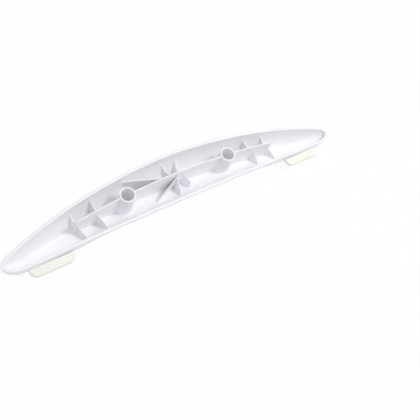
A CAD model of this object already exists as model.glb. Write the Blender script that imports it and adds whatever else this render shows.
"""Looks of a refrigerator door handle: a white moulded crescent with a ribbed open back, and two
creamy feet along its straight side.

Metres, +Z up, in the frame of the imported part: the handle lies on its smooth face, +X runs along
it and +Y points at its bowed edge. The spine is the rib along the middle. Across the handle, a
place runs from -1 at the straight edge over 0 on the spine to 1 at the bowed edge.
"""

import logging
import math
from dataclasses import dataclass, field
from enum import Enum
from typing import Any, Iterable, NamedTuple, Optional, Sequence, Union

import bmesh
import bpy
from mathutils import Matrix, Vector
from mathutils.bvhtree import BVHTree

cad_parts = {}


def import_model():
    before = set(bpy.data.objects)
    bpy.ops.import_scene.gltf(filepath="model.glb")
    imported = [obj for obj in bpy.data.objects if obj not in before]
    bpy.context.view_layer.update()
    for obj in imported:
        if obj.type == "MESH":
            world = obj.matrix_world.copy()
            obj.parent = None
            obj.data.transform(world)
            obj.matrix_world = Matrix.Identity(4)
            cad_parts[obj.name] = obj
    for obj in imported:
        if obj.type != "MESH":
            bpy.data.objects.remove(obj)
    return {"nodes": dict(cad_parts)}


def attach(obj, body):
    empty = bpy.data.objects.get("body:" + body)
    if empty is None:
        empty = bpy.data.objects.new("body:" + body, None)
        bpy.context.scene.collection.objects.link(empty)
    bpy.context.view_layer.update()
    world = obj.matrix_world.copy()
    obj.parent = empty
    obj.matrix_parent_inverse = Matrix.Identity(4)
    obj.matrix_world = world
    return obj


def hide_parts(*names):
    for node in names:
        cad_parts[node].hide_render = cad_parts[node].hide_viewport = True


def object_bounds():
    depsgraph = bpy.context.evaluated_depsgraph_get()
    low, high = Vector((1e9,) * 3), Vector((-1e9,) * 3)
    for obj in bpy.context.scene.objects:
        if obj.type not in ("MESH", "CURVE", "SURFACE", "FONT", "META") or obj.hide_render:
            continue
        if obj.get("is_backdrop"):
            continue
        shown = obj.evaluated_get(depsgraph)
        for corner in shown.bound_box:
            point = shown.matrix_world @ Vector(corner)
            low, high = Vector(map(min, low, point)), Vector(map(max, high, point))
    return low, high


LOG = logging.getLogger("door_handle")

BODY = "root"
SHARP_ANGLE = math.radians(50)
QUARTER = math.pi / 2
WHITE = (1.0, 1.0, 1.0, 1.0)
# A height above the whole handle, from which rays go down to its wall
OVERHEAD = 0.06
# How near a place of the unit ball is to the ball's equator to lie on it
ON_EQUATOR = 1e-4
# Keeps a divisor off 0
TINY = 1e-12

Socket = bpy.types.NodeSocket
Feed = Union[Socket, float, int, bool, str, Sequence[float], bpy.types.ID, None]


class Side(Enum):
    """The two halves of the handle, as the sign of their X."""

    LEFT = -1
    RIGHT = 1


class Bank(Enum):
    """The side of the spine that a rib stands on, as the sign of its way across."""

    GRIP = -1
    BOWED = 1


def smoothstep(low: float, high: float, value: float) -> float:
    """Rises smoothly from 0 to 1.

    Args:
        low: The value where it leaves 0.
        high: The value where it reaches 1.
        value: The value to judge.

    Returns:
        A share from 0 to 1.
    """
    share = min(max((value - low) / (high - low), 0.0), 1.0)
    return share * share * (3 - 2 * share)


def quarter_turn(steps: int) -> list[float]:
    """Angles from 0 to a right angle, in even steps."""
    return [QUARTER * number / steps for number in range(steps + 1)]


@dataclass(frozen=True)
class HandleForm:
    """The rule that the crescent follows in plan and in section."""

    # Plan
    length: float = 0.310
    width: float = 0.0425
    grip_hollow: float = 0.0024
    tip_rise: float = 0.0080
    tip_corner: float = 0.014
    bow_bluntness: float = 0.72
    bow_slimming: float = 0.06
    bow_shoulder: float = 0.35
    tip_bluntness: float = 0.50
    tip_onset: float = 8.0
    # Section
    depth: float = 0.0200
    bow_arch: float = 0.0043
    rim_band: float = 0.0012
    depth_power: float = 6.0
    depth_bluntness: float = 0.5
    wall: float = 0.0024
    spine_share: float = 0.53
    bowed_side_power: float = 2.2
    bowed_side_bluntness: float = 0.60
    grip_side_power: float = 2.2
    end_side_power: float = 6.0
    scoop_end: float = 0.070
    upright_start: float = 0.106
    # Wells, spine and feet
    seat_height: float = 0.0055
    well_spacing: float = 0.0965
    spine_length: float = 0.188
    spine_below_wells: float = 0.0003
    spine_end_drop: float = 0.0022
    foot_proud: float = 0.0065

    @property
    def half(self) -> float:
        """Half the length."""
        return self.length / 2

    @property
    def chord(self) -> float:
        """The Y of the straight side's chord."""
        return (self.foot_proud - self.width) / 2

    @property
    def seat(self) -> float:
        """Height of the ends of the screw wells."""
        return self.depth + self.seat_height

    def share_along(self, x: float) -> float:
        """How far a place lies from the middle towards a tip, from 0 to 1."""
        return min(abs(x) / self.half, 1.0)

    def bowed_edge(self, x: float) -> float:
        """The bowed edge of the plan, which is blunt at the tips.

        Args:
            x: Place along the handle.

        Returns:
            The Y of the edge.
        """
        square = self.share_along(x) ** 2
        slimmer = 1 - self.bow_slimming * square / (square + self.bow_shoulder ** 2)
        blunt = self.bow_bluntness
        blunt -= (self.bow_bluntness - self.tip_bluntness) * square ** self.tip_onset
        reach = (self.width - self.tip_rise) * slimmer * (1 - square) ** blunt
        return self.chord + self.tip_rise + reach

    def straight_edge(self, x: float) -> float:
        """The straight edge of the plan, slightly hollow, with its round corner at each tip.

        Args:
            x: Place along the handle.

        Returns:
            The Y of the edge.
        """
        into = min(max((abs(x) - (self.half - self.tip_corner)) / self.tip_corner, 0.0), 1.0)
        corner = self.tip_rise * (1 - math.sqrt(max(1 - into ** 2, 0.0)))
        return self.chord + self.grip_hollow * (1 - self.share_along(x) ** 2) + corner

    def spine_line(self, x: float) -> float:
        """Y of the line that the spine follows."""
        straight = self.straight_edge(x)
        return straight + self.spine_share * (self.bowed_edge(x) - straight)

    def place_across(self, x: float, across: float) -> float:
        """Y of a place of the plan.

        Args:
            x: Place along the handle.
            across: Place across it.

        Returns:
            The Y of the place.
        """
        edge = self.bowed_edge(x) if across > 0 else self.straight_edge(x)
        return self.spine_line(x) + abs(across) * (edge - self.spine_line(x))

    def rim_height(self, x: float, across: float) -> float:
        """Height of the rim at a place, or over it."""
        rise = self.bow_arch * (1 - self.share_along(x) ** 2)
        return self.depth + rise * smoothstep(-1.0, 1.0, across)

    def lowest_line(self, x: float) -> float:
        """The deepest line of the face, which is even until it rises into the tips.

        Args:
            x: Place along the handle.

        Returns:
            Its height over the ground.
        """
        share = self.share_along(x)
        top = self.depth - self.rim_band
        return top * (1 - (1 - share ** self.depth_power) ** self.depth_bluntness)

    def face_height(self, x: float, across: float) -> float:
        """Height of the outer face.

        Args:
            x: Place along the handle.
            across: Place across it.

        Returns:
            The height of the face over the ground.
        """
        across = min(max(across, -1.0), 1.0)
        if across > 0:
            hollow = (1 - across ** self.bowed_side_power) ** self.bowed_side_bluntness
        else:
            upright = smoothstep(self.scoop_end, self.upright_start, abs(x))
            power = self.grip_side_power + (self.end_side_power - self.grip_side_power) * upright
            blunt = self.bowed_side_bluntness
            blunt += (self.depth_bluntness - self.bowed_side_bluntness) * upright
            hollow = (1 - (-across) ** power) ** blunt
        top = self.rim_height(x, across) - self.rim_band
        return top - (top - self.lowest_line(x)) * hollow

    def spine_top(self, x: float) -> float:
        """The top of the spine, level between the wells and dropping towards its ends.

        Args:
            x: Place along the handle.

        Returns:
            Its height over the ground.
        """
        well = self.well_spacing / 2
        beyond = max(abs(x) - well, 0) / (self.spine_length / 2 - well)
        return self.seat - self.spine_below_wells - self.spine_end_drop * beyond ** 2


class NodeBuilder:
    """Adds nodes to a tree and links them in one step."""

    def __init__(self, tree: bpy.types.NodeTree) -> None:
        """Keeps the tree that the nodes go into."""
        self.tree = tree

    def add(self, kind: str, feeds: Optional[dict[Union[str, int], Feed]] = None,
            **settings: Any) -> bpy.types.Node:
        """Adds one node.

        Args:
            kind: Blender's name for the node type.
            feeds: What goes into each input, by its name or number: a socket or a plain value.
            **settings: Properties of the node itself.

        Returns:
            The node.
        """
        node = self.tree.nodes.new(kind)
        for name, value in settings.items():
            setattr(node, name, value)
        for key, value in (feeds or {}).items():
            if isinstance(value, bpy.types.NodeSocket):
                self.tree.links.new(value, node.inputs[key])
            elif value is not None:
                node.inputs[key].default_value = value
        return node

    def first(self, kind: str, feeds: Optional[dict[Union[str, int], Feed]] = None,
              **settings: Any) -> Socket:
        """Adds one node as add does, and gives its first output."""
        return self.add(kind, feeds, **settings).outputs[0]

    def math(self, operation: str, *values: Feed, clamp: bool = False) -> Socket:
        """Adds a Math node, whose result stays from 0 to 1 where clamp is set."""
        return self.first("ShaderNodeMath", dict(enumerate(values)), operation=operation,
                          use_clamp=clamp)

    def vector(self, operation: str, *values: Feed) -> Socket:
        """Adds a Vector Math node that gives a vector."""
        return self.first("ShaderNodeVectorMath", dict(enumerate(values)), operation=operation)

    def seen_directly(self) -> Socket:
        """Tells whether the camera sees a place, straight or by gloss or glass.

        Returns:
            1 where it does, else 0.
        """
        rays = self.add("ShaderNodeLightPath").outputs
        bent = self.math("MAXIMUM", rays["Is Glossy Ray"], rays["Is Transmission Ray"])
        return self.math("MAXIMUM", rays["Is Camera Ray"], bent)


def new_interface(tree: bpy.types.NodeTree, inputs: dict[str, tuple[str, Any]],
                  outputs: dict[str, str]) -> None:
    """Gives a tree its named inputs and outputs.

    Args:
        tree: The tree.
        inputs: Socket type and default of each input, by name.
        outputs: Socket type of each output, by name.
    """
    for name, (kind, default) in inputs.items():
        socket = tree.interface.new_socket(name, in_out="INPUT", socket_type=kind)
        if default is not None:
            socket.default_value = default
    for name, kind in outputs.items():
        tree.interface.new_socket(name, in_out="OUTPUT", socket_type=kind)


@dataclass(frozen=True)
class MouldingFlow:
    """The uneven look of moulded plastic: faint clouds in its colour and gloss, and a fine skin."""

    name: str = "moulding_flow"
    cloud_detail: float = 3.0
    cloud_roughness: float = 0.55
    cloud_range: tuple[float, float] = (0.32, 0.68)
    skin_detail: float = 2.0
    skin_roughness: float = 0.5
    gloss_range: tuple[float, float] = (0.35, 0.65)
    cloud_gloss: float = 0.65
    skin_gloss: float = 0.35
    cloud_relief: float = 3.0

    def group(self) -> bpy.types.NodeTree:
        """Gives the shader node group that the plastics share.

        Returns:
            The group, which is built on its first use.
        """
        if self.name in bpy.data.node_groups:
            return bpy.data.node_groups[self.name]
        tree = bpy.data.node_groups.new(self.name, "ShaderNodeTree")
        new_interface(tree,
                      {"Light": ("NodeSocketColor", (0.9, 0.9, 0.9, 1)),
                       "Shade": ("NodeSocketColor", (0.8, 0.8, 0.8, 1)),
                       "Cloud Scale": ("NodeSocketFloat", 40.0),
                       "Skin Scale": ("NodeSocketFloat", 1500.0),
                       "Smooth": ("NodeSocketFloat", 0.3),
                       "Dull": ("NodeSocketFloat", 0.4)},
                      {"Color": "NodeSocketColor", "Roughness": "NodeSocketFloat",
                       "Height": "NodeSocketFloat"})
        build = NodeBuilder(tree)
        given = build.add("NodeGroupInput").outputs
        place = build.add("ShaderNodeTexCoord").outputs["Object"]
        clouds = build.add("ShaderNodeTexNoise", {
            "Vector": place, "Scale": given["Cloud Scale"], "Detail": self.cloud_detail,
            "Roughness": self.cloud_roughness}).outputs["Fac"]
        skin = build.add("ShaderNodeTexNoise", {
            "Vector": place, "Scale": given["Skin Scale"], "Detail": self.skin_detail,
            "Roughness": self.skin_roughness}).outputs["Fac"]
        soft = build.first("ShaderNodeMapRange", {
            "Value": clouds, "From Min": self.cloud_range[0], "From Max": self.cloud_range[1]},
            interpolation_type="SMOOTHSTEP")
        colour = build.add("ShaderNodeMix", {0: soft, 6: given["Shade"], 7: given["Light"]},
                           data_type="RGBA").outputs[2]
        uneven = build.math("MULTIPLY_ADD", skin, self.skin_gloss,
                            build.math("MULTIPLY", clouds, self.cloud_gloss))
        gloss = build.first("ShaderNodeMapRange", {
            "Value": uneven, "From Min": self.gloss_range[0], "From Max": self.gloss_range[1],
            "To Min": given["Smooth"], "To Max": given["Dull"]})
        height = build.math("MULTIPLY_ADD", clouds, self.cloud_relief, skin)
        build.add("NodeGroupOutput", {"Color": colour, "Roughness": gloss, "Height": height})
        return tree


@dataclass(frozen=True)
class PlasticFinish:
    """A moulded plastic."""

    name: str
    light: tuple[float, float, float]
    shade: tuple[float, float, float]
    smooth: float
    dull: float
    cloud_scale: float = 40.0
    skin_scale: float = 1500.0
    skin_height: float = 0.00002
    skin_strength: float = 0.6
    index: float = 1.49

    def material(self) -> bpy.types.Material:
        """Gives the material, which is built on its first use.

        Returns:
            The material.
        """
        if self.name in bpy.data.materials:
            return bpy.data.materials[self.name]
        material = bpy.data.materials.new(self.name)
        material.use_nodes = True
        build = NodeBuilder(material.node_tree)
        shader = material.node_tree.nodes["Principled BSDF"]
        flow = build.add("ShaderNodeGroup", node_tree=MouldingFlow().group())
        for name, value in {"Light": (*self.light, 1), "Shade": (*self.shade, 1),
                            "Cloud Scale": self.cloud_scale, "Skin Scale": self.skin_scale,
                            "Smooth": self.smooth, "Dull": self.dull}.items():
            flow.inputs[name].default_value = value
        bump = build.first("ShaderNodeBump", {"Height": flow.outputs["Height"],
                                              "Strength": self.skin_strength,
                                              "Distance": self.skin_height})
        links = material.node_tree.links
        links.new(flow.outputs["Color"], shader.inputs["Base Color"])
        links.new(flow.outputs["Roughness"], shader.inputs["Roughness"])
        links.new(bump, shader.inputs["Normal"])
        shader.inputs["IOR"].default_value = self.index
        return material


def as_mesh(name: str, shape: bmesh.types.BMesh) -> bpy.types.Mesh:
    """Turns a bmesh into a plain mesh, and frees it.

    Args:
        name: Name of the new mesh.
        shape: The bmesh.

    Returns:
        The mesh.
    """
    mesh = bpy.data.meshes.new(name)
    shape.to_mesh(mesh)
    shape.free()
    return mesh


def evaluated_mesh(thing: bpy.types.Object, name: str) -> bpy.types.Mesh:
    """Gives the shape that an object has with its modifiers.

    Args:
        thing: The object.
        name: Name of the new mesh.

    Returns:
        A plain mesh.
    """
    shown = thing.evaluated_get(bpy.context.evaluated_depsgraph_get())
    mesh = bpy.data.meshes.new_from_object(shown, preserve_all_data_layers=False)
    mesh.name = name
    return mesh


def new_object(name: str, data: bpy.types.ID) -> bpy.types.Object:
    """Puts a mesh, a lamp or a camera into the scene, at the origin.

    Args:
        name: Name of the object.
        data: What it shows or is.

    Returns:
        The object.
    """
    thing = bpy.data.objects.new(name, data)
    bpy.context.scene.collection.objects.link(thing)
    return thing


def round_edges(thing: bpy.types.Object, width: float, steps: int) -> None:
    """Rounds the sharp edges of an object.

    Args:
        thing: The object.
        width: How far the rounding reaches from an edge.
        steps: How many faces go round it.
    """
    rounding = thing.modifiers.new("rounding", "BEVEL")
    rounding.width = width
    rounding.segments = steps
    rounding.limit_method = "ANGLE"
    rounding.angle_limit = SHARP_ANGLE


@dataclass
class Bowl:
    """The bare crescent: its face, its inner wall and its rounded rim."""

    form: HandleForm
    steps_around: int = 288
    steps_down: int = 96
    edge_radius: float = 0.0007
    edge_steps: int = 3

    def build(self) -> bpy.types.Object:
        """Builds the bare bowl.

        Returns:
            An object with a plain closed mesh.
        """
        bowl = new_object("bowl", as_mesh("bowl", self._face()))
        wall = bowl.modifiers.new("wall", "SOLIDIFY")
        wall.thickness = self.form.wall
        wall.offset = -1.0
        wall.use_even_offset = True
        round_edges(bowl, self.edge_radius, self.edge_steps)
        plain = evaluated_mesh(bowl, "bowl_plain")
        bowl.modifiers.clear()
        bowl.data = plain
        return bowl

    def _face(self) -> bmesh.types.BMesh:
        """Lays out the outer face, with the upright band along its rim.

        Returns:
            The open face, turned outward.
        """
        face = bmesh.new()
        bmesh.ops.create_uvsphere(face, u_segments=self.steps_around, v_segments=self.steps_down,
                                  radius=1.0)
        upper = [vertex for vertex in face.verts if vertex.co.z > ON_EQUATOR]
        bmesh.ops.delete(face, geom=upper, context="VERTS")
        for vertex in face.verts:
            vertex.co = self._laid_out(vertex.co)
        rim = [edge for edge in face.edges if edge.is_boundary]
        raised = bmesh.ops.extrude_edge_only(face, edges=rim)["geom"]
        for vertex in (part for part in raised if isinstance(part, bmesh.types.BMVert)):
            vertex.co.z += self.form.rim_band
        bmesh.ops.recalc_face_normals(face, faces=face.faces)
        if sum(part.normal.z * part.calc_area() for part in face.faces) > 0:
            bmesh.ops.reverse_faces(face, faces=face.faces)
        face.normal_update()
        return face

    def _laid_out(self, place: Vector) -> Vector:
        """Lays a place of the lower half of a unit ball onto the outer face.

        Args:
            place: The place on the ball.

        Returns:
            The place on the face.
        """
        form = self.form
        x = place.x * form.half
        chord = math.sqrt(max(1 - place.x ** 2, TINY))
        across = min(max(place.y / chord, -1.0), 1.0)
        on_rim = abs(place.z) < ON_EQUATOR
        height = (form.rim_height(x, across) - form.rim_band if on_rim
                  else form.face_height(x, across))
        return Vector((x, form.place_across(x, across), height))


@dataclass(frozen=True)
class RibPlan:
    """Where one rib runs, from its foot on the spine to its reach at the edge of the handle.

    Attributes:
        bank: The side of the spine.
        foot: X on the spine.
        reach: X at the edge of the handle.
        step_down: How far its top starts below that of the spine.
        edge_drop: How far its top ends below the rim.
        hollow: How far its top sags between the two.
        cut: The share of its run after which its top drops steeply.
    """

    bank: Bank
    foot: float
    reach: float
    step_down: float
    edge_drop: float
    hollow: float = 0.0
    cut: float = 1.0


def rib_plans() -> tuple[RibPlan, ...]:
    """All ribs but the spine.

    Returns:
        The pairs at the ends of the spine on both banks, then the fan in the middle.
    """
    bowed, grip = Bank.BOWED, Bank.GRIP
    return (
        RibPlan(bowed, foot=-0.0742, reach=-0.0742, step_down=0.0080, edge_drop=0.0068),
        RibPlan(bowed, foot=0.0742, reach=0.0742, step_down=0.0080, edge_drop=0.0068),
        RibPlan(bowed, foot=-0.0925, reach=-0.0932, step_down=0.0110, edge_drop=0.0078),
        RibPlan(bowed, foot=0.0925, reach=0.0932, step_down=0.0110, edge_drop=0.0070),
        RibPlan(grip, foot=-0.0742, reach=-0.0672, step_down=0.0085, edge_drop=0.0140),
        RibPlan(grip, foot=0.0785, reach=0.0836, step_down=0.0085, edge_drop=0.0216),
        RibPlan(grip, foot=-0.0915, reach=-0.0855, step_down=0.0095, edge_drop=0.0145),
        RibPlan(grip, foot=0.0938, reach=0.1066, step_down=0.0090, edge_drop=0.0220),
        RibPlan(bowed, foot=-0.0015, reach=-0.0070, step_down=0.0075, edge_drop=0.0042,
                hollow=0.0060),
        RibPlan(bowed, foot=0.0030, reach=0.0092, step_down=0.0075, edge_drop=0.0046,
                hollow=0.0055),
        RibPlan(bowed, foot=-0.0138, reach=-0.0512, step_down=0.0009, edge_drop=0.0068),
        RibPlan(grip, foot=0.0029, reach=-0.0475, step_down=0.0026, edge_drop=0.0310, cut=0.53),
        RibPlan(grip, foot=-0.0003, reach=-0.0003, step_down=0.0062, edge_drop=0.0176),
        RibPlan(grip, foot=0.0068, reach=0.0190, step_down=0.0085, edge_drop=0.0160, cut=0.36),
    )


class SectionSteps(NamedTuple):
    """How far a point of a rib's section has come along each part of it, as sockets.

    The crown, the side and the end run from 0 to 1, and the turn round the edge and the sweep of
    the fillet from 0 to a right angle. The way is -1 on one side of the rib and 1 on the other.
    """

    way: Socket
    crown: Socket
    turn: Socket
    side: Socket
    sweep: Socket
    end: Socket


@dataclass(frozen=True)
class RibGrowth:
    """The Geometry Nodes tree that grows ribs out of the wall below their top lines.

    Each half of a rib's section is a row of steps: over the flat crown, round the edge, down the
    side, and through the fillet to an end buried in the wall.
    """

    crown_steps: int = 2
    edge_steps: int = 4
    side_steps: int = 1
    fillet_steps: int = 7
    fillet_share: float = 0.8
    burial: float = 0.00015
    strip_half: float = 0.001
    ray_length: float = 0.1

    @property
    def steps(self) -> int:
        """Steps from the middle of the crown to the end of the fillet."""
        return self.crown_steps + self.edge_steps + self.side_steps + self.fillet_steps

    def tree(self, name: str) -> bpy.types.NodeTree:
        """Builds the tree.

        Args:
            name: Its name.

        Returns:
            The tree, which takes top lines, the bowl below, the sizes and the plastic.
        """
        tree = bpy.data.node_groups.new(name, "GeometryNodeTree")
        new_interface(tree,
                      {"Geometry": ("NodeSocketGeometry", None),
                       "Bowl": ("NodeSocketObject", None),
                       "Half Thickness": ("NodeSocketFloat", 0.0006),
                       "Edge Radius": ("NodeSocketFloat", 0.0004),
                       "Draft": ("NodeSocketFloat", 0.0002),
                       "Fillet": ("NodeSocketFloat", 0.001),
                       "Sink": ("NodeSocketFloat", 0.0008),
                       "Material": ("NodeSocketMaterial", None)},
                      {"Geometry": "NodeSocketGeometry"})
        build = NodeBuilder(tree)
        given = build.add("NodeGroupInput").outputs
        ribbon = self._ribbon(build, given["Geometry"])
        section = self._section(build)
        x, y, line = self._in_plan(build, given, section)
        wall = self._wall_below(build, given["Bowl"], x, y)
        height = self._height(build, given, section, line, wall)
        place = build.first("ShaderNodeCombineXYZ", {0: x, 1: y, 2: height})
        shaped = build.first("GeometryNodeSetPosition", {"Geometry": ribbon, "Position": place})
        smooth = build.first("GeometryNodeSetShadeSmooth", {"Geometry": shaped})
        real = build.first("GeometryNodeRealizeInstances", {"Geometry": smooth})
        dressed = build.first("GeometryNodeSetMaterial",
                              {"Geometry": real, "Material": given["Material"]})
        build.add("NodeGroupOutput", {"Geometry": dressed})
        return tree

    def _ribbon(self, build: NodeBuilder, lines: Socket) -> Socket:
        """Draws a flat strip along the top lines, which remembers where each point belongs.

        Args:
            build: The tree's builder.
            lines: The top lines, as edges.

        Returns:
            The strip.
        """
        path = build.first("GeometryNodeMeshToCurve", {"Mesh": lines})
        path = self._remembered(build, path, "rib_place", "FLOAT_VECTOR",
                                build.first("GeometryNodeInputPosition"))
        path = self._remembered(build, path, "rib_tangent", "FLOAT_VECTOR",
                                build.first("GeometryNodeInputTangent"))
        strip = build.first("GeometryNodeCurvePrimitiveLine",
                            {"Start": (-self.strip_half, 0, 0), "End": (self.strip_half, 0, 0)})
        strip = build.first("GeometryNodeResampleCurve",
                            {"Curve": strip, "Count": 2 * self.steps + 1})
        factor = build.add("GeometryNodeSplineParameter").outputs["Factor"]
        strip = self._remembered(build, strip, "rib_across", "FLOAT",
                                 build.math("MULTIPLY_ADD", factor, 2.0, -1.0))
        return build.first("GeometryNodeCurveToMesh", {"Curve": path, "Profile Curve": strip})

    def _section(self, build: NodeBuilder) -> SectionSteps:
        """Reads how far a point has come along each part of the section.

        Args:
            build: The tree's builder.

        Returns:
            The shares and angles.
        """
        across = self._recalled(build, "rib_across", "FLOAT")
        step = build.math("MULTIPLY", build.math("ABSOLUTE", across), float(self.steps))

        def share(start: int, count: int) -> Socket:
            """Share of the steps of one part that lie behind the point."""
            passed = build.math("SUBTRACT", step, float(start))
            return build.math("DIVIDE", passed, float(count), clamp=True)

        edge_end = self.crown_steps + self.edge_steps
        turn = share(self.crown_steps, self.edge_steps)
        sweep = share(edge_end + self.side_steps, self.fillet_steps)
        return SectionSteps(way=build.math("SIGN", across),
                            crown=share(0, self.crown_steps),
                            turn=build.math("MULTIPLY", turn, QUARTER),
                            side=share(edge_end, self.side_steps),
                            sweep=build.math("MULTIPLY", sweep, QUARTER),
                            end=share(self.steps - 1, 1))

    def _in_plan(self, build: NodeBuilder, given: bpy.types.NodeOutputs,
                 section: SectionSteps) -> tuple[Socket, Socket, Socket]:
        """Moves a point of the section sideways off its top line.

        Args:
            build: The tree's builder.
            given: The tree's inputs.
            section: How far the point has come along the section.

        Returns:
            X and Y of the point, and the height of its top line.
        """
        radius = given["Edge Radius"]
        flat = build.math("SUBTRACT", given["Half Thickness"], radius)
        aside = build.math("MULTIPLY", section.crown, flat)
        aside = build.math("MULTIPLY_ADD", build.math("SINE", section.turn), radius, aside)
        aside = build.math("MULTIPLY_ADD", section.side, given["Draft"], aside)
        arc = build.math("SUBTRACT", 1.0, build.math("COSINE", section.sweep))
        aside = build.math("MULTIPLY_ADD", arc, given["Fillet"], aside)
        aside = build.math("MULTIPLY", aside, section.way)
        tangent = self._recalled(build, "rib_tangent", "FLOAT_VECTOR")
        level = build.vector("MULTIPLY", tangent, (1.0, 1.0, 0.0))
        sideways = build.vector("NORMALIZE", build.vector("CROSS_PRODUCT", level, (0, 0, 1)))
        offset = build.first("ShaderNodeVectorMath", {0: sideways, "Scale": aside},
                             operation="SCALE")
        place = build.vector("ADD", self._recalled(build, "rib_place", "FLOAT_VECTOR"), offset)
        x, y, line = build.add("ShaderNodeSeparateXYZ", {0: place}).outputs
        return x, y, line

    def _wall_below(self, build: NodeBuilder, bowl: Socket, x: Socket, y: Socket) -> Socket:
        """Finds the wall of the bowl below a place.

        Args:
            build: The tree's builder.
            bowl: The bowl.
            x: X of the place.
            y: Y of the place.

        Returns:
            The height of the wall.
        """
        above = build.first("ShaderNodeCombineXYZ", {0: x, 1: y, 2: OVERHEAD})
        target = build.add("GeometryNodeObjectInfo", {"Object": bowl}).outputs["Geometry"]
        hit = build.add("GeometryNodeRaycast",
                        {"Target Geometry": target, "Source Position": above,
                         "Ray Direction": (0, 0, -1), "Ray Length": self.ray_length})
        return build.add("ShaderNodeSeparateXYZ", {0: hit.outputs["Hit Position"]}).outputs[2]

    def _height(self, build: NodeBuilder, given: bpy.types.NodeOutputs, section: SectionSteps,
                line: Socket, wall: Socket) -> Socket:
        """Gives a point of the section its height, on the crown or on the skirt of the rib.

        Args:
            build: The tree's builder.
            given: The tree's inputs.
            section: How far the point has come along the section.
            line: Height of the top line.
            wall: Height of the wall below the point.

        Returns:
            The height of the point.
        """
        sunk = build.math("SUBTRACT", wall, given["Sink"])
        bend = build.math("SUBTRACT", build.math("COSINE", section.turn), 1.0)
        top = build.math("MULTIPLY_ADD", bend, given["Edge Radius"], line)
        top = build.math("MAXIMUM", top, sunk)
        spare = build.math("SUBTRACT", line, wall)
        rise = build.math("MULTIPLY", spare, self.fillet_share)
        rise = build.math("MINIMUM", rise, given["Fillet"])
        rise = build.math("MAXIMUM", rise, build.math("MULTIPLY", given["Sink"], -1.0))
        lift = build.math("SUBTRACT", 1.0, build.math("SINE", section.sweep))
        skirt = build.math("MULTIPLY_ADD", rise, lift, wall)
        skirt = build.math("ADD", skirt, build.math("MULTIPLY", section.end, -self.burial))
        skirt = build.math("MINIMUM", skirt, top)
        return build.math("MULTIPLY_ADD", build.math("SUBTRACT", skirt, top), section.side, top)

    @staticmethod
    def _remembered(build: NodeBuilder, geometry: Socket, name: str, kind: str,
                    value: Socket) -> Socket:
        """Stores a value on the points of a geometry.

        Args:
            build: The tree's builder.
            geometry: The geometry.
            name: Name of the attribute.
            kind: Its data type.
            value: The value.

        Returns:
            The geometry with the attribute.
        """
        feeds = {"Geometry": geometry, "Name": name, "Value": value}
        return build.first("GeometryNodeStoreNamedAttribute", feeds, data_type=kind,
                           domain="POINT")

    @staticmethod
    def _recalled(build: NodeBuilder, name: str, kind: str) -> Socket:
        """Reads a stored value."""
        return build.first("GeometryNodeInputNamedAttribute", {"Name": name}, data_type=kind)


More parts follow.
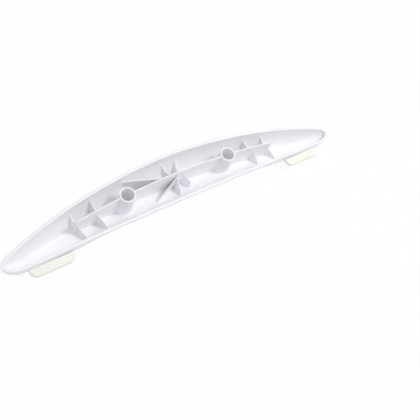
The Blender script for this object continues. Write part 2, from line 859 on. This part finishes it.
@dataclass
class Ribs:
    """The ribs of the open back. Each follows its top line and grows out of the wall below.

    Stations are the points of a top line. A rib's line ends wall_share of the wall's thickness
    inside the edge, or where it comes within buried of that thickness to the face below. After
    its cut it drops by cut_slope.
    """

    form: HandleForm
    plans: tuple[RibPlan, ...] = field(default_factory=rib_plans)
    growth: RibGrowth = field(default_factory=RibGrowth)
    half_thickness: float = 0.0004
    spine_half_thickness: float = 0.0005
    edge_radius: float = 0.0003
    draft: float = 0.0002
    fillet: float = 0.0011
    sink: float = 0.0008
    station: float = 0.0006
    well_clearance: float = 0.0061
    wall_share: float = 0.6
    cut_slope: float = 8.0
    buried: float = 0.3

    def build(self, bowl: bpy.types.Object, material: bpy.types.Material) -> list[bpy.types.Mesh]:
        """Builds the spine and all other ribs.

        Args:
            bowl: The bare bowl that they grow out of.
            material: Their plastic.

        Returns:
            Plain meshes, one for the spine and one for the others.
        """
        crossing = [self._line(plan) for plan in self.plans]
        return [self._grown("spine_rib", self._spine_lines(), self.spine_half_thickness, bowl,
                            material),
                self._grown("cross_ribs", crossing, self.half_thickness, bowl, material)]

    def _spine_lines(self) -> list[list[Vector]]:
        """Draws the top of the spine, which stops at each well and has upright ends.

        Returns:
            The lines left of, between and right of the wells.
        """
        well, end = self.form.well_spacing / 2, self.form.spine_length / 2
        clear = self.well_clearance
        spans = ((-end, -well - clear), (-well + clear, well - clear), (well + clear, end))
        left, middle, right = [self._stretch(low, high) for low, high in spans]
        left[:0] = reversed(self._spine_end(left[0], Side.LEFT))
        right += self._spine_end(right[-1], Side.RIGHT)
        return [left, middle, right]

    def _stretch(self, low: float, high: float) -> list[Vector]:
        """Draws the top of the spine between two places.

        Args:
            low: X where it starts.
            high: X where it ends.

        Returns:
            Its stations.
        """
        form = self.form
        steps = max(int((high - low) / self.station), 2)
        places = [low + (high - low) * number / steps for number in range(steps + 1)]
        return [Vector((x, form.spine_line(x), form.spine_top(x))) for x in places]

    def _spine_end(self, tip: Vector, side: Side) -> list[Vector]:
        """Rounds an end of the spine off and leads it down.

        Args:
            tip: The last station of its top.
            side: The end.

        Returns:
            The stations after the tip.
        """
        round_off = tip + Vector((side.value * self.edge_radius, 0, -self.edge_radius))
        return [round_off, Vector((round_off.x + side.value * self.draft, tip.y, 0))]

    def _line(self, plan: RibPlan) -> list[Vector]:
        """Draws a rib's top line, which ends inside the wall.

        Args:
            plan: Where the rib runs.

        Returns:
            Its stations, from the spine outward.
        """
        form, sign = self.form, float(plan.bank.value)
        foot = Vector((plan.foot, form.spine_line(plan.foot),
                       form.spine_top(plan.foot) - plan.step_down))
        reach = Vector((plan.reach, form.place_across(plan.reach, sign),
                        form.rim_height(plan.reach, sign) - plan.edge_drop))
        run = (reach - foot).to_2d().length
        share = 1 - self.wall_share * form.wall / abs(reach.y - foot.y)
        steps = max(int(run * share / self.station), 2)
        line = []
        for number in range(steps + 1):
            along = share * number / steps
            place = foot.lerp(reach, along)
            place.z -= 4 * plan.hollow * along * (1 - along)
            place.z -= max(along - plan.cut, 0.0) * run * self.cut_slope
            line.append(place)
            spine = form.spine_line(place.x)
            across = (place.y - spine) / abs(form.place_across(place.x, sign) - spine)
            if place.z < form.face_height(place.x, across) + self.buried * form.wall:
                break
        return line

    def _grown(self, name: str, lines: list[list[Vector]], half: float, bowl: bpy.types.Object,
               material: bpy.types.Material) -> bpy.types.Mesh:
        """Grows ribs along their top lines.

        Args:
            name: Name of the mesh.
            lines: The top lines.
            half: Half the thickness of a rib at its top.
            bowl: The bare bowl below.
            material: The plastic.

        Returns:
            A plain mesh.
        """
        mesh = bpy.data.meshes.new(name)
        edges: list[tuple[int, int]] = []
        start = 0
        for line in lines:
            edges += [(start + number, start + number + 1) for number in range(len(line) - 1)]
            start += len(line)
        mesh.from_pydata([tuple(place) for line in lines for place in line], edges, [])
        paths = new_object(name, mesh)
        growing = paths.modifiers.new("growth", "NODES")
        growing.node_group = self.growth.tree(name + "_growth")
        sizes = {"Bowl": bowl, "Half Thickness": half, "Edge Radius": self.edge_radius,
                 "Draft": self.draft, "Fillet": self.fillet, "Sink": self.sink,
                 "Material": material}
        for item in growing.node_group.interface.items_tree:
            if item.item_type == "SOCKET" and item.in_out == "INPUT" and item.name in sizes:
                growing[item.identifier] = sizes[item.name]
        paths.update_tag()
        grown = evaluated_mesh(paths, name + "_grown")
        bpy.data.objects.remove(paths, do_unlink=True)
        return grown


class SectionPoint(NamedTuple):
    """A point of a well's section: its radius, and its height over the ground or over the wall."""

    radius: float
    height: float
    over_wall: bool = False


@dataclass
class ScrewWells:
    """The two round wells that the screws go into."""

    form: HandleForm
    radius: float = 0.0067
    bore_radius: float = 0.0053
    bore_floor: float = 0.0064
    lip_radius: float = 0.00045
    draft: float = 0.0008
    bore_draft: float = 0.0002
    fillet: float = 0.0012
    sink: float = 0.0002
    fillet_steps: int = 6
    lip_steps: int = 4
    steps_around: int = 96

    def build(self, bowl: bpy.types.Object) -> bpy.types.Mesh:
        """Builds both wells.

        Args:
            bowl: The bare bowl that they stand in.

        Returns:
            A plain mesh of both.
        """
        ground = BVHTree.FromObject(bowl, bpy.context.evaluated_depsgraph_get())
        wells = bmesh.new()
        for side in Side:
            x = side.value * self.form.well_spacing / 2
            self._add(wells, Vector((x, self.form.spine_line(x), 0)), ground)
        bmesh.ops.recalc_face_normals(wells, faces=wells.faces)
        return as_mesh("wells", wells)

    def _section(self) -> list[SectionPoint]:
        """Draws half the section of a well.

        Returns:
            Its points from the fillet outside over the lip to the floor of the bore.
        """
        outside, inside, seat = self.radius, self.bore_radius, self.form.seat
        foot, corner = outside + self.draft, 2 * self.lip_radius
        section = [SectionPoint(foot + self.fillet, -self.sink, over_wall=True)]
        for angle in quarter_turn(self.fillet_steps)[-2::-1]:
            section.append(SectionPoint(foot + self.fillet * (1 - math.cos(angle)),
                                        self.fillet * (1 - math.sin(angle)), over_wall=True))
        for angle in quarter_turn(self.lip_steps):
            section.append(SectionPoint(outside - self.lip_radius * (1 - math.cos(angle)),
                                        seat - self.lip_radius * (1 - math.sin(angle))))
        for angle in quarter_turn(self.lip_steps)[::-1]:
            section.append(SectionPoint(inside + self.lip_radius * (1 - math.cos(angle)),
                                        seat - self.lip_radius * (1 - math.sin(angle))))
        for angle in quarter_turn(self.lip_steps):
            section.append(SectionPoint(inside - self.bore_draft - corner * (1 - math.cos(angle)),
                                        self.bore_floor + corner * (1 - math.sin(angle))))
        return section

    def _add(self, wells: bmesh.types.BMesh, centre: Vector, ground: BVHTree) -> None:
        """Adds one well.

        Args:
            wells: The mesh that it goes into.
            centre: Its place.
            ground: The wall below.
        """
        count = self.steps_around
        rings = []
        for point in self._section():
            ring = []
            for number in range(count):
                angle = 2 * math.pi * number / count
                x = centre.x + point.radius * math.cos(angle)
                y = centre.y + point.radius * math.sin(angle)
                z = point.height
                if point.over_wall:
                    z += ground.ray_cast(Vector((x, y, OVERHEAD)), Vector((0, 0, -1)))[0].z
                ring.append(wells.verts.new((x, y, z)))
            rings.append(ring)
        for lower, upper in zip(rings, rings[1:]):
            for number in range(count):
                after = (number + 1) % count
                wells.faces.new((lower[number], lower[after], upper[after], upper[number]))
        wells.faces.new(rings[-1])


@dataclass
class MouldedShell:
    """The handle itself: bowl, ribs and wells, moulded in one."""

    finish: PlasticFinish
    form: HandleForm = field(default_factory=HandleForm)
    node: str = "handle_shell"
    slot: str = "white_plastic"

    def build(self) -> bpy.types.Object:
        """Builds and dresses the shell.

        Returns:
            The piece.
        """
        material = self.finish.material()
        bowl = Bowl(self.form).build()
        parts = [bowl.data, *Ribs(self.form).build(bowl, material),
                 ScrewWells(self.form).build(bowl)]
        whole = bmesh.new()
        for part in parts:
            whole.from_mesh(part)
        bpy.data.objects.remove(bowl, do_unlink=True)
        mesh = as_mesh("moulded_shell", whole)
        mesh.materials.clear()
        mesh.materials.append(material)
        mesh.polygons.foreach_set("material_index", [0] * len(mesh.polygons))
        mesh.shade_smooth()
        mesh.set_sharp_from_angle(angle=SHARP_ANGLE)
        shell = new_object("moulded_shell", mesh)
        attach(shell, BODY)
        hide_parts(self.node)
        return shell


@dataclass
class Feet:
    """The two feet: rounded pads of a second plastic that come out of the straight side."""

    finish: PlasticFinish
    form: HandleForm = field(default_factory=HandleForm)
    slot: str = "natural_plastic"
    length: float = 0.0360
    from_tip: float = 0.0345
    proud: float = 0.0065
    thickness: float = 0.0035
    middle: float = 0.01225
    corner: float = 0.0060
    corner_steps: int = 12
    edge: float = 0.0013
    edge_steps: int = 5

    def build(self) -> list[bpy.types.Object]:
        """Builds both pads and gives each to its node.

        Returns:
            The two pieces.
        """
        pads = []
        for side, node in ((Side.LEFT, "left_foot"), (Side.RIGHT, "right_foot")):
            pad = self._pad(f"{node}_pad", side.value * (self.form.half - self.from_tip))
            pad.data.materials.append(self.finish.material())
            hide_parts(node)
            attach(pad, BODY)
            pads.append(pad)
        return pads

    def _outline(self, centre: float) -> list[tuple[float, float]]:
        """Draws the outline of a pad, seen from above.

        Args:
            centre: Its middle along the handle.

        Returns:
            X and Y of its points, from its left end inside the wall round its two corners.
        """
        half, outer = self.length / 2, self.form.chord - self.proud
        inner = self.form.chord + self.form.wall / 2
        outline = [(centre - half, inner)]
        turn = quarter_turn(self.corner_steps)
        for side, angles in ((Side.LEFT, turn[::-1]), (Side.RIGHT, turn)):
            for angle in angles:
                reach = half - self.corner * (1 - math.sin(angle))
                outline.append((centre + side.value * reach,
                                outer + self.corner * (1 - math.cos(angle))))
        return [*outline, (centre + half, inner)]

    def _pad(self, name: str, centre: float) -> bpy.types.Object:
        """Builds one pad.

        Args:
            name: Name of the piece.
            centre: Its middle along the handle.

        Returns:
            The piece, with all its edges rounded.
        """
        outline = self._outline(centre)
        count = len(outline)
        low, high = self.middle - self.thickness / 2, self.middle + self.thickness / 2
        sides = [(number, (number + 1) % count, count + (number + 1) % count, count + number)
                 for number in range(count)]
        mesh = bpy.data.meshes.new(name)
        mesh.from_pydata([(x, y, z) for z in (low, high) for x, y in outline], [],
                         [tuple(reversed(range(count))), tuple(range(count, 2 * count)), *sides])
        block = new_object(name + "_block", mesh)
        round_edges(block, self.edge, self.edge_steps)
        rounded = evaluated_mesh(block, name)
        bpy.data.objects.remove(block, do_unlink=True)
        rounded.shade_smooth()
        return new_object(name, rounded)


@dataclass(frozen=True)
class Softbox:
    """A round soft lamp that faces the handle."""

    name: str
    place: tuple[float, float, float]
    size: float
    power: float

    def build(self) -> None:
        """Puts the lamp into the scene."""
        data = bpy.data.lights.new(self.name, "AREA")
        data.shape = "DISK"
        data.size = self.size
        data.energy = self.power
        place = Vector(self.place)
        facing = (-place).to_track_quat("-Z", "Y").to_matrix().to_4x4()
        new_object(self.name, data).matrix_world = Matrix.Translation(place) @ facing


@dataclass
class Studio:
    """Floor, light and camera."""

    floor_size: float = 6.0
    floor_colour: tuple[float, float, float, float] = (0.9, 0.9, 0.9, 1.0)
    floor_shadow: float = 0.06
    sky: float = 0.60
    lamps: tuple[Softbox, ...] = (
        Softbox("key", place=(0.33, -0.17, 0.82), size=0.2, power=2.6),
        Softbox("top", place=(0.0, 0.0, 0.90), size=0.4, power=0.6))
    camera_place: tuple[float, float, float] = (-0.20612, -0.15051, 0.43962)
    camera_right: tuple[float, float, float] = (0.81846, -0.5025, 0.27861)
    camera_up: tuple[float, float, float] = (0.3667, 0.83014, 0.42001)
    camera_back: tuple[float, float, float] = (-0.44233, -0.24159, 0.8637)
    sensor: float = 36.0
    lens: float = 51.43
    nearest: float = 0.01

    def build(self) -> None:
        """Builds all of it."""
        self._floor()
        self._light()
        self._camera()
        bpy.context.scene.view_settings.view_transform = "Standard"

    def _floor(self) -> None:
        """Lays a plain white floor that keeps a faint shadow."""
        half = self.floor_size / 2
        mesh = bpy.data.meshes.new("floor")
        mesh.from_pydata([(-half, -half, 0), (half, -half, 0), (half, half, 0), (-half, half, 0)],
                         [], [(0, 1, 2, 3)])
        material = bpy.data.materials.new("white_sweep")
        material.use_nodes = True
        material.node_tree.nodes.clear()
        build = NodeBuilder(material.node_tree)
        matt = build.first("ShaderNodeBsdfDiffuse", {"Color": self.floor_colour})
        glow = build.first("ShaderNodeEmission", {"Color": WHITE})
        share = build.math("MULTIPLY", build.seen_directly(), 1 - self.floor_shadow)
        mixed = build.first("ShaderNodeMixShader", {0: share, 1: matt, 2: glow})
        build.add("ShaderNodeOutputMaterial", {"Surface": mixed})
        mesh.materials.append(material)
        new_object("floor", mesh)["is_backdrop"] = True

    def _light(self) -> None:
        """Hangs an even white sky and the soft lamps."""
        world = bpy.data.worlds.new("studio")
        bpy.context.scene.world = world
        world.use_nodes = True
        world.node_tree.nodes.clear()
        build = NodeBuilder(world.node_tree)
        strength = build.math("MULTIPLY_ADD", build.seen_directly(), 1 - self.sky, self.sky)
        sky = build.first("ShaderNodeBackground", {"Color": WHITE, "Strength": strength})
        build.add("ShaderNodeOutputWorld", {"Surface": sky})
        for lamp in self.lamps:
            lamp.build()

    def _camera(self) -> None:
        """Sets the camera up at the photograph's viewing angle."""
        data = bpy.data.cameras.new("camera")
        data.sensor_width = self.sensor
        data.lens = self.lens
        data.clip_start = self.nearest
        camera = new_object("camera", data)
        turn = Matrix((self.camera_right, self.camera_up, self.camera_back)).transposed()
        camera.matrix_world = (Matrix.Translation(self.camera_place)
                               @ turn.to_quaternion().normalized().to_matrix().to_4x4())
        bpy.context.scene.camera = camera


WHITE_PLASTIC = PlasticFinish(name="white_moulding", light=(0.95, 0.953, 0.98),
                              shade=(0.93, 0.934, 0.962), smooth=0.30, dull=0.42)
NATURAL_PLASTIC = PlasticFinish(name="natural_moulding", light=(0.93, 0.93, 0.87),
                                shade=(0.90, 0.90, 0.83), smooth=0.42, dull=0.55)


def plain(box: Iterable[Iterable[float]]) -> list[list[float]]:
    """Turns a box into plain lists."""
    return [[float(number) for number in corner] for corner in box]


def main() -> None:
    """Builds the handle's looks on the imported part."""
    logging.basicConfig(level=logging.INFO)
    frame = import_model()
    LOG.info("packed nodes: %d", len(frame["nodes"]))
    solid_box = plain(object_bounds())
    for piece in (MouldedShell(WHITE_PLASTIC).build(), *Feet(NATURAL_PLASTIC).build()):
        LOG.info("%s: %d faces", piece.name, len(piece.data.polygons))
    Studio().build()
    {"solid": solid_box, "looks": plain(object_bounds())}


if __name__ == "__main__":
    main()
